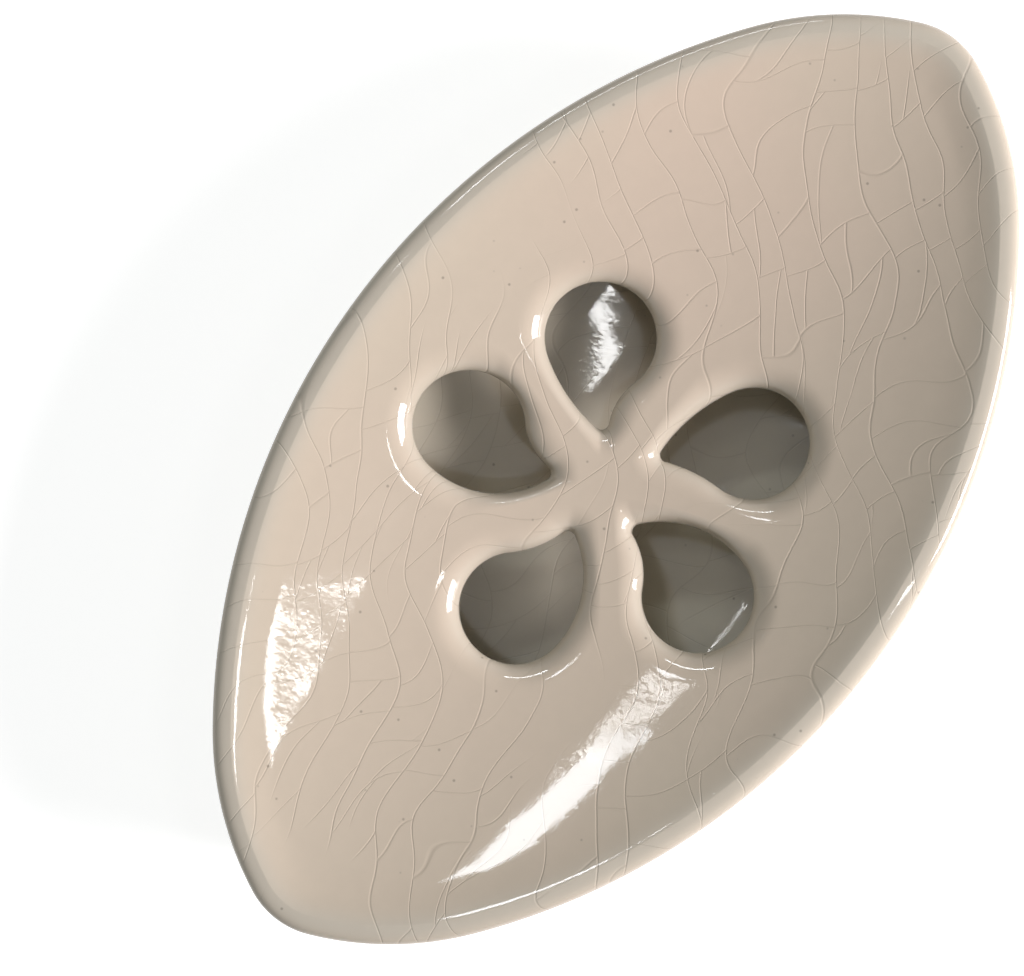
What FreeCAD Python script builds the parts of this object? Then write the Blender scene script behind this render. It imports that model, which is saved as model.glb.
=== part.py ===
# Leaf-shaped glazed soap dish in two pieces: a dished drain plate that lifts off a drip tray.
# Millimetres. +Z is up, +X runs along the leaf, and the origin is under the middle of the foot.
import FreeCAD, Part
import math
import os
from collections import namedtuple

from FreeCAD import Vector

# Leaf outline of the drain plate: long side arcs, shoulders and soft tips
LENGTH = 170.0
WIDTH = 97.0
TIP_RADIUS = 13.3
TIP_SWEEP = 24.0
SHOULDER_RADIUS = 52.0
LEAST_TIP_RADIUS = 1.0

# Drain plate: a shallow bowl with a rolled rim that overhangs the tray
RIM_RISE = 9.5
RIM_ROLL = 3.2
RIM_LAND = 0.1
BOWL_DEPTH = 8.5
BOWL_SHOULDER_LIFT = 0.5
BOWL_TIP_SHORT = 0.8
BEVEL_WIDTH = 1.6
BEVEL_ANGLE = 6.0
PLATE_WALL = 5.2

# Drain holes: five hand-cut drops whose tails lean in to the middle
FIRST_BEARING = 36.0
PATTERN_RADIUS = 23.0
PATTERN_SHIFT_X = -0.9
PATTERN_SHIFT_Y = 0.9
HEAD_RADIUS = 8.7
TAIL_REACH = 15.4
TAIL_RADIUS = 1.2
LIP = 2.0

# How each hole strays from an even fifth of a turn, and the radii of its full and hollow sides
DropCut = namedtuple("DropCut", "bearing_stray reach_stray lean belly waist")
DROP_CUTS = [
    DropCut(3.7, -0.7, 2.0, 26.0, 10.0),
    DropCut(-2.4, -0.2, -6.0, 15.0, 10.0),
    DropCut(1.4, 1.2, 2.0, 16.0, 17.0),
    DropCut(4.0, -0.7, 7.0, 16.0, 12.0),
    DropCut(-1.2, 0.3, -6.0, 26.0, 24.0),
]

# Seat between the two pieces: the plate's flat underside on the tray's rim, and a flange inside it
SEAT_HEIGHT = 20.5
SEAT_INSET = 4.5
FLANGE_WALL = 3.0
FLANGE_DROP = 3.0
FLANGE_CLEARANCE = 0.8
FLANGE_TIP_GAP = 1.5

# Drip tray: a low boat with a trough floor and leaning walls under a straight collar, on a foot ring
TRAY_WALL = 4.5
TRAY_TROUGH_RADIUS = 78.0
TRAY_FLARE = 6.5
TRAY_FLOOR_FLARE = 2.4
TRAY_FLOOR_HEIGHT = 6.0
FOOT_HEIGHT = 2.5
FOOT_WALL = 4.5

# Bands in a wall that curves from the floor to the collar, and how far the cutting shapes pass the rim
WALL_BANDS = 2
PAST_RIM = 8.0
UP = Vector(0, 0, 1)


class Leaf:
    """A pointed oval of eight tangent arcs: two tips, four shoulders and two sides."""

    def __init__(self, shoulder_centre, shoulder_radius, side_y, side_radius, tip_radius):
        self.shoulder_centre = shoulder_centre
        self.shoulder_radius = shoulder_radius
        self.side_y = side_y
        self.side_radius = side_radius
        self.tip_radius = tip_radius
        # The tip's centre lies on the X axis, where its arc meets the shoulder's in one tangent
        spread = shoulder_radius - tip_radius
        run = math.sqrt(spread**2 - shoulder_centre.y**2)
        self.tip_x = shoulder_centre.x + run
        self.tip_sweep = math.atan2(-shoulder_centre.y, run)
        self.side_sweep = math.atan2(shoulder_centre.y - side_y, shoulder_centre.x)
        self.half_length = self.tip_x + tip_radius
        self.half_width = side_radius + side_y

    def inset(self, distance):
        """The parallel leaf inside this one, whose tips grow no sharper than the least tip radius."""
        return Leaf(
            self.shoulder_centre,
            self.shoulder_radius - distance,
            self.side_y,
            self.side_radius - distance,
            max(self.tip_radius - distance, LEAST_TIP_RADIUS),
        )

    def wire(self, z):
        """The closed outline at a height."""
        tip, side, shoulder = self.tip_sweep, self.side_sweep, self.shoulder_centre
        half = [
            (self.tip_x, 0, self.tip_radius, -tip, tip),
            (shoulder.x, shoulder.y, self.shoulder_radius, tip, side),
            (0, self.side_y, self.side_radius, side, math.pi - side),
            (-shoulder.x, shoulder.y, self.shoulder_radius, math.pi - side, math.pi - tip),
        ]
        arcs = []
        for sign, turn in ((1, 0), (-1, math.pi)):
            for x, y, radius, start, end in half:
                circle = Part.Circle(Vector(sign * x, sign * y, z), UP, radius)
                arcs.append(Part.ArcOfCircle(circle, start + turn, end + turn).toShape())
        return Part.Wire(arcs)

    def prism(self, low, high):
        """The leaf as a straight-sided block between two heights."""
        return Part.Face(self.wire(low)).extrude(UP * (high - low))


def make_plate_leaf():
    """The outline of the drain plate, from its length, width and radii."""
    spread = SHOULDER_RADIUS - TIP_RADIUS
    sweep = math.radians(TIP_SWEEP)
    shoulder = Vector(LENGTH / 2 - TIP_RADIUS - spread * math.cos(sweep), -spread * math.sin(sweep), 0)
    # The side arc's centre lies on the Y axis, where its arc meets the shoulder's in one tangent
    rise = WIDTH / 2 - SHOULDER_RADIUS
    side_y = (rise**2 - shoulder.Length**2) / (2 * (rise - shoulder.y))
    return Leaf(shoulder, SHOULDER_RADIUS, side_y, WIDTH / 2 - side_y, TIP_RADIUS)


PLATE_LEAF = make_plate_leaf()
CREST_LEAF = PLATE_LEAF.inset(RIM_ROLL + RIM_LAND)
EDGE_LEAF = CREST_LEAF.inset(BEVEL_WIDTH)
RIM_LEAF = PLATE_LEAF.inset(SEAT_INSET)
MOUTH_LEAF = RIM_LEAF.inset(TRAY_WALL)
FLANGE_LEAF = MOUTH_LEAF.inset(FLANGE_CLEARANCE)
FLANGE_INNER_LEAF = FLANGE_LEAF.inset(FLANGE_WALL)
FOOT_LEAF = RIM_LEAF.inset(TRAY_FLARE)
RIM_HEIGHT = SEAT_HEIGHT + RIM_RISE
TALL = RIM_HEIGHT + LENGTH
BEVEL_SLOPE = math.tan(math.radians(BEVEL_ANGLE))
BOWL_MIDDLE_HEIGHT = RIM_HEIGHT - BEVEL_WIDTH * BEVEL_SLOPE - BOWL_DEPTH
BOWL_REACH_X = EDGE_LEAF.half_length - BOWL_TIP_SHORT
BOWL_REACH_Y = EDGE_LEAF.half_width
HALF_SHEET_LENGTH = LENGTH / 2 + PAST_RIM
HALF_SHEET_WIDTH = WIDTH / 2 + PAST_RIM
PATTERN_CENTRE = Vector(PATTERN_SHIFT_X, PATTERN_SHIFT_Y, 0)


def bowl_rise(x_square, y_square):
    """How far the bowl rises above its middle, from the squares of x and y over the bowl's reach."""
    return BOWL_DEPTH * (x_square + y_square + BOWL_SHOULDER_LIFT * x_square * y_square)


def bowl_sheet():
    """The plate's upper surface as one patch, square in x and y, that runs past the rim.

    On a patch from -reach to +reach the square of x has the control values +s, -s and +s, where s is its
    value at the ends.
    """
    surface = Part.BezierSurface()
    surface.increase(2, 2)
    x_square = (HALF_SHEET_LENGTH / BOWL_REACH_X) ** 2
    y_square = (HALF_SHEET_WIDTH / BOWL_REACH_Y) ** 2
    for column, x_sign in enumerate((-1, 0, 1), start=1):
        for row, y_sign in enumerate((-1, 0, 1), start=1):
            rise = bowl_rise(x_square if x_sign else -x_square, y_square if y_sign else -y_square)
            pole = Vector(x_sign * HALF_SHEET_LENGTH, y_sign * HALF_SHEET_WIDTH, BOWL_MIDDLE_HEIGHT + rise)
            surface.setPole(column, row, pole)
    return surface.toShape()


def bowl_tangent(x, y):
    """The height of the plate's upper surface at a place, and its upward normal there."""
    x_square = (x / BOWL_REACH_X) ** 2
    y_square = (y / BOWL_REACH_Y) ** 2
    slope_x = BOWL_DEPTH * (1 + BOWL_SHOULDER_LIFT * y_square) * 2 * x / BOWL_REACH_X**2
    slope_y = BOWL_DEPTH * (1 + BOWL_SHOULDER_LIFT * x_square) * 2 * y / BOWL_REACH_Y**2
    height = BOWL_MIDDLE_HEIGHT + bowl_rise(x_square, y_square)
    return height, Vector(-slope_x, -slope_y, 1).normalize()


def bowl_block(mouth_leaf, flare, floor_height, shoulder_height, top_height):
    """A block whose side curves as a quarter ellipse from a flat floor to a straight band at the mouth."""
    wires = []
    for step in range(WALL_BANDS + 1):
        turn = math.pi / 2 * step / WALL_BANDS
        rise = (shoulder_height - floor_height) * (1 - math.cos(turn))
        wires.append(mouth_leaf.inset(flare * (1 - math.sin(turn))).wire(floor_height + rise))
    return Part.makeLoft(wires, True, True).fuse(mouth_leaf.prism(shoulder_height, top_height))


def trough(radius, low):
    """A round bar along X, whose lower side is a trough with its lowest line at a height."""
    return Part.makeCylinder(radius, 2 * LENGTH, Vector(-LENGTH, 0, low + radius), Vector(1, 0, 0))


def ring(outer_leaf, inner_leaf, low, high):
    """The straight-sided ring between two leaves and two heights."""
    return outer_leaf.prism(low, high).cut(inner_leaf.prism(low, high)).Solids[0]


def direction(angle):
    """The level unit vector at an angle from +X."""
    return Vector(math.cos(angle), math.sin(angle), 0)


def circles_meet(centre_a, radius_a, centre_b, radius_b):
    """Where two circles cross, on the left of the way from a to b."""
    way = centre_b - centre_a
    along = (way.Length**2 + radius_a**2 - radius_b**2) / (2 * way.Length)
    across = math.sqrt(radius_a**2 - along**2)
    way.normalize()
    return centre_a + way * along + UP.cross(way) * across


def arc_about(centre, radius, start_way, end_way, left):
    """The arc about a centre from one direction to another, turning left or right."""
    start = math.atan2(start_way.y, start_way.x)
    end = math.atan2(end_way.y, end_way.x)
    sweep = (end - start) % (2 * math.pi) if left else -((start - end) % (2 * math.pi))
    points = [centre + direction(start + sweep * share) * radius for share in (0, 0.5, 1)]
    return Part.Arc(*points).toShape()


class Drop:
    """The outline of one drain hole: a round head, a full side, a small round tail and a hollow side."""

    def __init__(self, index, cut):
        bearing = math.radians(FIRST_BEARING + index * 360.0 / len(DROP_CUTS) + cut.bearing_stray)
        self.cut = cut
        self.head = PATTERN_CENTRE + direction(bearing) * (PATTERN_RADIUS + cut.reach_stray)
        tip = self.head + direction(bearing + math.pi + math.radians(cut.lean)) * TAIL_REACH
        self.belly = circles_meet(self.head, cut.belly - HEAD_RADIUS, tip, cut.belly)
        self.waist = circles_meet(self.head, cut.waist + HEAD_RADIUS, tip, cut.waist)
        self.tail = circles_meet(self.waist, cut.waist + TAIL_RADIUS, self.belly, cut.belly - TAIL_RADIUS)
        self.middle = (self.head + tip) * 0.5

    def wire(self, grow, z):
        """The outline grown by a distance, at a height."""
        lift = UP * z
        belly_way = self.head - self.belly
        tail_way = self.tail - self.belly
        waist_way = self.head - self.waist
        hollow_way = self.tail - self.waist
        return Part.Wire([
            arc_about(self.head + lift, HEAD_RADIUS + grow, -waist_way, belly_way, True),
            arc_about(self.belly + lift, self.cut.belly + grow, belly_way, tail_way, True),
            arc_about(self.tail + lift, TAIL_RADIUS + grow, tail_way, -hollow_way, True),
            arc_about(self.waist + lift, self.cut.waist - grow, hollow_way, waist_way, False),
        ])

    def cutter(self):
        """The hole as a block square to the bowl, flared at its lip."""
        levels = [(LIP, LIP), (LIP, 0), (0, -LIP), (0, -2 * PLATE_WALL)]
        block = Part.makeLoft([self.wire(grow, z) for grow, z in levels], True, True)
        height, normal = bowl_tangent(self.middle.x, self.middle.y)
        block.rotate(self.middle, UP.cross(normal), math.degrees(UP.getAngle(normal)))
        block.translate(UP * height)
        return block


def make_drain_plate():
    """The upper piece: a dished plate with a rolled rim, a seat, a flange and five drain holes."""
    roll_low = RIM_HEIGHT - RIM_ROLL - RIM_LAND
    rim = PLATE_LEAF.prism(roll_low, RIM_HEIGHT)
    roll_edges = [edge for edge in rim.Edges if edge.BoundBox.ZMin > RIM_HEIGHT - RIM_LAND]
    overhang = Part.makeLoft([RIM_LEAF.wire(SEAT_HEIGHT), PLATE_LEAF.wire(roll_low)], True, True)
    core_low = BOWL_MIDDLE_HEIGHT - 2 * PLATE_WALL
    core = FLANGE_INNER_LEAF.prism(core_low, SEAT_HEIGHT)
    flange = ring(FLANGE_LEAF, FLANGE_INNER_LEAF, SEAT_HEIGHT - FLANGE_DROP, SEAT_HEIGHT)
    plate = rim.makeFillet(RIM_ROLL, roll_edges).fuse([overhang, core, flange])

    # The bowl runs up to a narrow bevel inside the crest, which carries the roll over to the bowl
    bowl = bowl_sheet().extrude(UP * TALL)
    bevel_wires = [
        CREST_LEAF.inset(distance).wire(RIM_HEIGHT - distance * BEVEL_SLOPE)
        for distance in (2 * RIM_ROLL, -RIM_LAND / 2)
    ]
    bevel = Part.makeLoft(bevel_wires, True, True)
    # Inside the flange the underside is a trough that curves across as the bowl does
    bowl_radius = BOWL_REACH_Y**2 / (2 * BOWL_DEPTH)
    keel = trough(bowl_radius, BOWL_MIDDLE_HEIGHT - PLATE_WALL)
    underside = FLANGE_INNER_LEAF.prism(core_low, RIM_HEIGHT).cut(keel)
    holes = [Drop(index, cut).cutter() for index, cut in enumerate(DROP_CUTS)]
    return plate.cut([bowl, bevel, underside]).cut(holes).removeSplitter()


def make_drip_tray():
    """The lower piece: a low boat with a trough floor, a straight collar and a level rim, on a foot ring."""
    collar_low = SEAT_HEIGHT - FLANGE_DROP - FLANGE_TIP_GAP
    outside = bowl_block(RIM_LEAF, TRAY_FLARE, FOOT_HEIGHT, collar_low, SEAT_HEIGHT)
    inside = bowl_block(MOUTH_LEAF, TRAY_FLOOR_FLARE, TRAY_FLOOR_HEIGHT, collar_low, RIM_HEIGHT)
    floor = trough(TRAY_TROUGH_RADIUS, TRAY_FLOOR_HEIGHT)
    # Within the foot the underside follows the floor at the tray's wall
    keel = trough(TRAY_TROUGH_RADIUS + TRAY_WALL, TRAY_FLOOR_HEIGHT - TRAY_WALL)
    recess = FOOT_LEAF.inset(FOOT_WALL).prism(-FOOT_HEIGHT, collar_low).cut(keel)
    return outside.fuse(FOOT_LEAF.prism(0, FOOT_HEIGHT)).cut([inside.common(floor), recess]).removeSplitter()


if __name__ == "__main__":
    os.makedirs("parts", exist_ok=True)
    make_drain_plate().exportStep("parts/drain_plate.step")
    make_drip_tray().exportStep("parts/drip_tray.step")
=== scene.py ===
"""Leaf-shaped soap dish in crackle glaze: a pierced drain plate that lies on a low drip tray.

Sizes in the classes are millimetres in the CAD frame: +X runs along the leaf, +Z is up, and the origin is
under the middle of the foot. Meshes are written in metres.
"""
import logging
import math
from dataclasses import dataclass, field
from enum import Enum
from typing import Any

import bmesh
import bpy
import numpy as np
from mathutils import Matrix, Vector


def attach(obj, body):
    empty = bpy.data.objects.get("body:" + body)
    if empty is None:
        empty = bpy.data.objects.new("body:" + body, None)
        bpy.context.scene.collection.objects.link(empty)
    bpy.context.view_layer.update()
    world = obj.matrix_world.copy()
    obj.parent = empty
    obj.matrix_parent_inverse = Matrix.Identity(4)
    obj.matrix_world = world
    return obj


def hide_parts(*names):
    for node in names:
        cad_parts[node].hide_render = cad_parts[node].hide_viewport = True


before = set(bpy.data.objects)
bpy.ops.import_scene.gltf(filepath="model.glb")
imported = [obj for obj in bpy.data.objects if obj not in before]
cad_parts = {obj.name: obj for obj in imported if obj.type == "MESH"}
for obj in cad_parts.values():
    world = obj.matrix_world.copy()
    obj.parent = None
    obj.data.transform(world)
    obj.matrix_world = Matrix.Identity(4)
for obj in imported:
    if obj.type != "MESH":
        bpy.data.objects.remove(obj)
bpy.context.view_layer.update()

MM = 0.001
MERGE_DISTANCE = 2e-6
THIN_GLAZE = "thin_glaze"
WHITE = (1.0, 1.0, 1.0)
NOISE_SPAN = (0.3, 0.7)  # most of a noise texture's values lie between these
Array = np.ndarray
Socket = bpy.types.NodeSocket
Span = tuple[float, float]
Colour = tuple[float, float, float]
log = logging.getLogger("soap_dish")


class Body(Enum):
    """The CAD bodies that the pieces ride on."""

    TRAY = "tray"
    PLATE = "plate"


class Slot(Enum):
    """The record's material slots."""

    PLATE_GLAZE = "plate_glaze"
    TRAY_GLAZE = "tray_glaze"


class Facing(Enum):
    """Which way a lamp faces."""

    DOWN = "down"
    DISH = "dish"


def ease(value: Array) -> Array:
    """A smooth step from 0 to 1: three squares less two cubes of the value held between 0 and 1."""
    held = np.clip(value, 0.0, 1.0)
    return held * held * (3.0 - 2.0 * held)


def lower_of(first: Array, second: Array, softness: float) -> Array:
    """The lower of two heights with a rounded crease between them.

    Minus the softness times the logarithm of the sum of both exponentials of minus height over softness.

    Args:
        first: One surface's heights.
        second: The other surface's heights.
        softness: How wide the crease is rounded, in the heights' unit.

    Returns:
        The blended heights.
    """
    return -softness * np.logaddexp(-first / softness, -second / softness)


def rounded_path(corners: list[tuple[float, float, float]], steps: int) -> Array:
    """A section line whose corners are rounded.

    Each inner corner becomes a parabola from a point its radius before it to a point its radius after it.

    Args:
        corners: Inset, height and rounding radius of each corner, in order.
        steps: Points on each rounding.

    Returns:
        Inset and height of each point, one row per point.
    """
    spots = np.array([corner[:2] for corner in corners])
    share = np.linspace(0.0, 1.0, steps)[:, None]
    pieces = [spots[:1]]
    for before, here, after, corner in zip(spots, spots[1:], spots[2:], corners[1:]):
        start = here + (before - here) / np.linalg.norm(before - here) * corner[2]
        end = here + (after - here) / np.linalg.norm(after - here) * corner[2]
        pieces.append((1 - share) ** 2 * start + 2 * share * (1 - share) * here + share**2 * end)
    return np.concatenate([*pieces, spots[-1:]])


def grid_quads(rows: int, columns: int) -> Array:
    """The four-sided faces of a grid of points whose columns close on themselves.

    Args:
        rows: Number of rows of points.
        columns: Number of points in each row.

    Returns:
        Point numbers of each face, one row per face.
    """
    index = np.arange(rows * columns).reshape(rows, columns)
    index = np.concatenate([index, index[:, :1]], axis=1)
    corners = [index[:-1, :-1], index[:-1, 1:], index[1:, 1:], index[1:, :-1]]
    return np.stack(corners, axis=-1).reshape(-1, 4)


@dataclass
class Shell:
    """Grids of points gathered into one closed mesh.

    Attributes:
        points: One array of points per grid, in millimetres.
        faces: One array of faces per grid.
        thin: How thin the glaze lies at each point, from 0 to 1.
    """

    points: list[Array] = field(default_factory=list)
    faces: list[Array] = field(default_factory=list)
    thin: list[Array] = field(default_factory=list)

    def add_grid(self, points: Array, thin: Array) -> None:
        """Adds one grid.

        Args:
            points: Rows by columns by three coordinates.
            thin: Rows by columns of glaze thinness.
        """
        start = sum(len(block) for block in self.points)
        self.points.append(points.reshape(-1, 3))
        self.faces.append(grid_quads(*points.shape[:2]) + start)
        self.thin.append(thin.reshape(-1))

    def to_object(self, name: str) -> bpy.types.Object:
        """Writes the grids as one mesh, joins their shared edges and turns all faces outwards.

        Args:
            name: The piece's name.

        Returns:
            The new object, at the origin.
        """
        points = np.concatenate(self.points) * MM
        faces = np.concatenate(self.faces)
        mesh = bpy.data.meshes.new(name)
        mesh.from_pydata(points, [], faces)
        mesh.attributes.new(THIN_GLAZE, "FLOAT", "POINT").data.foreach_set("value", np.concatenate(self.thin))
        shape = bmesh.new()
        shape.from_mesh(mesh)
        bmesh.ops.remove_doubles(shape, verts=shape.verts, dist=MERGE_DISTANCE)
        bmesh.ops.recalc_face_normals(shape, faces=shape.faces)
        shape.to_mesh(mesh)
        shape.free()
        mesh.shade_smooth()
        piece = bpy.data.objects.new(name, mesh)
        bpy.context.scene.collection.objects.link(piece)
        return piece


@dataclass(frozen=True)
class Leaf:
    """A pointed oval of eight tangent arcs: two tips, four shoulders and two long sides."""

    length: float = 170.0
    width: float = 97.0
    tip_radius: float = 13.3
    tip_sweep: float = 24.0
    shoulder_radius: float = 52.0
    least_tip_radius: float = 1.0
    tip_steps: int = 40
    shoulder_steps: int = 60
    side_steps: int = 120

    @property
    def shoulder(self) -> tuple[float, float]:
        """The centre of the shoulder arc, where it meets the tip's arc in one tangent."""
        spread, sweep = self.shoulder_radius - self.tip_radius, math.radians(self.tip_sweep)
        return self.length / 2 - self.tip_radius - spread * math.cos(sweep), -spread * math.sin(sweep)

    @property
    def side_y(self) -> float:
        """The side arc's centre on the Y axis, where it meets the shoulder's arc in one tangent."""
        x, y = self.shoulder
        rise = self.width / 2 - self.shoulder_radius
        return (rise**2 - x**2 - y**2) / (2 * (rise - y))

    def parallel(self, insets: Array) -> Array:
        """Outlines parallel to the leaf: the same arc centres, each radius less the inset.

        Where an inset leaves the tip less than its least radius, the tip keeps that radius and its centre
        moves in along X until it touches the shoulders again.

        Args:
            insets: How far each outline lies inside the leaf.

        Returns:
            Outlines by points by x and y, anticlockwise from the +X tip.
        """
        inset = np.asarray(insets, float)[:, None]
        x, y = self.shoulder
        tip = np.maximum(self.tip_radius - inset, self.least_tip_radius)
        shoulder = self.shoulder_radius - inset
        side = self.width / 2 - self.side_y - inset
        run = np.sqrt((shoulder - tip) ** 2 - y**2)
        tip_turn = np.arctan2(-y, run)
        side_turn = math.atan2(y - self.side_y, x)

        def arc(centre_x: Any, centre_y: float, radius: Array, start: Any, end: Any, steps: int) -> Array:
            """Points on an arc: centre plus radius times cosine and sine of an even turn."""
            turn = start + (end - start) * np.arange(steps) / steps
            return np.stack([centre_x + radius * np.cos(turn), centre_y + radius * np.sin(turn)], axis=-1)

        half = np.concatenate([
            arc(x + run, 0.0, tip, -tip_turn, tip_turn, self.tip_steps),
            arc(x, y, shoulder, tip_turn, side_turn, self.shoulder_steps),
            arc(0.0, self.side_y, side, side_turn, math.pi - side_turn, self.side_steps),
            arc(-x, y, shoulder, math.pi - side_turn, math.pi - tip_turn, self.shoulder_steps),
        ], axis=1)
        return np.concatenate([half, -half], axis=1)


@dataclass(frozen=True)
class Bowl:
    """The dished upper surface of the plate."""

    middle: float = 21.332
    depth: float = 7.9
    reach_x: float = 79.3
    reach_y: float = 43.6
    shoulder_lift: float = 0.5

    def height(self, x: Array, y: Array) -> Array:
        """Middle plus depth times (X + Y + lift times X times Y), X and Y the squares over the reach."""
        across, along = (y / self.reach_y) ** 2, (x / self.reach_x) ** 2
        return self.middle + self.depth * (along + across + self.shoulder_lift * along * across)

    def lean(self, place: complex) -> complex:
        """The slope of the surface at a place, as a step in plan per step of height.

        Args:
            place: Where, as x plus i times y.

        Returns:
            The slopes along x and y, as one complex number.
        """
        across, along = (place.imag / self.reach_y) ** 2, (place.real / self.reach_x) ** 2
        slope_x = 2 * self.depth * place.real / self.reach_x**2 * (1 + self.shoulder_lift * across)
        slope_y = 2 * self.depth * place.imag / self.reach_y**2 * (1 + self.shoulder_lift * along)
        return complex(slope_x, slope_y)


@dataclass(frozen=True)
class Trough:
    """A surface that curves across the dish and runs straight along it."""

    low: float
    radius: float

    def height(self, y: Array) -> Array:
        """The lowest line plus the radius, less the root of the radius squared less y squared."""
        return self.low + self.radius - np.sqrt(self.radius**2 - y**2)


def circles_meet(a: complex, radius_a: float, b: complex, radius_b: float) -> complex:
    """Where two circles cross, on the left of the way from a to b.

    Args:
        a: Centre of the first circle, as x plus i times y.
        radius_a: Its radius.
        b: Centre of the second circle.
        radius_b: Its radius.

    Returns:
        The crossing.
    """
    way = b - a
    along = (abs(way) ** 2 + radius_a**2 - radius_b**2) / (2 * abs(way))
    return a + way / abs(way) * complex(along, math.sqrt(radius_a**2 - along**2))


@dataclass(frozen=True)
class Drop:
    """One drain hole in plan: a round head, a full side, a small round tail and a hollow side.

    Places are complex numbers, x plus i times y.
    """

    bearing: float
    reach: float
    lean: float
    belly_radius: float
    waist_radius: float
    middle: complex = complex(-0.9, 0.9)
    head_radius: float = 8.7
    tail_reach: float = 15.4
    tail_radius: float = 1.2
    arc_steps: int = 96

    @property
    def head(self) -> complex:
        """The centre of the round head."""
        return self.middle + self.reach * np.exp(1j * math.radians(self.bearing))

    @property
    def tip(self) -> complex:
        """The point that the tail leans in to."""
        return self.head + self.tail_reach * np.exp(1j * math.radians(self.bearing + 180.0 + self.lean))

    def outline(self) -> tuple[Array, Array, Array, Array]:
        """The hole's edge, anticlockwise from the point of its tail that faces the plate's middle.

        Four tangent arcs: each is its centre plus its radius times the unit direction of an even turn.

        Returns:
            The run along the edge, the places, the outward directions, and the turn about the head's centre
            at each place.
        """
        belly = circles_meet(self.head, self.belly_radius - self.head_radius, self.tip, self.belly_radius)
        waist = circles_meet(self.head, self.waist_radius + self.head_radius, self.tip, self.waist_radius)
        waist_reach, belly_reach = self.waist_radius + self.tail_radius, self.belly_radius - self.tail_radius
        tail = circles_meet(waist, waist_reach, belly, belly_reach)
        tail_end = self.middle - tail
        share = np.linspace(0.0, 1.0, self.arc_steps, endpoint=False)

        def arc(
            centre: complex, radius: float, start: complex, end: complex, side: int
        ) -> tuple[Array, Array]:
            """Places and outward directions on an arc that turns left for side 1 and right for side -1."""
            sweep = side * (side * (np.angle(end) - np.angle(start)) % (2 * math.pi))
            way = np.exp(1j * (np.angle(start) + sweep * share))
            return centre + radius * way, side * way

        arcs = [
            arc(tail, self.tail_radius, tail_end, waist - tail, 1),
            arc(waist, self.waist_radius, tail - waist, self.head - waist, -1),
            arc(self.head, self.head_radius, waist - self.head, self.head - belly, 1),
            arc(belly, self.belly_radius, self.head - belly, tail - belly, 1),
            arc(tail, self.tail_radius, tail - belly, tail_end, 1),
        ]
        places, ways = (np.concatenate(rows) for rows in zip(*arcs))
        places, ways = np.append(places, places[0]), np.append(ways, ways[0])
        run = np.concatenate([[0.0], np.cumsum(np.abs(np.diff(places)))])
        return run, places, ways, np.unwrap(np.angle(places - self.head))


@dataclass(frozen=True)
class GlazeFinish:
    """A celadon glaze: its colours, gloss and crackle.

    Attributes:
        warm: Colour where the glaze runs beige.
        cool: Colour where it runs grey-green.
        edge: Colour where it lies thin, on edges.
        coat_roughness: Roughness of the clear surface.
        crackle_scale: Long cracks per metre.
        crackle_turn: Direction of the long cracks in plan, in degrees from +X.
        relief: Depth of the cracks, in metres.
        ripple: Height of the clear surface's fine ripple, in metres.
    """

    name: str
    warm: Colour
    cool: Colour
    edge: Colour
    coat_roughness: float = 0.045
    crackle_scale: float = 135.0
    crackle_turn: float = 37.7
    relief: float = 0.00004
    ripple: float = 0.000005


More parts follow.
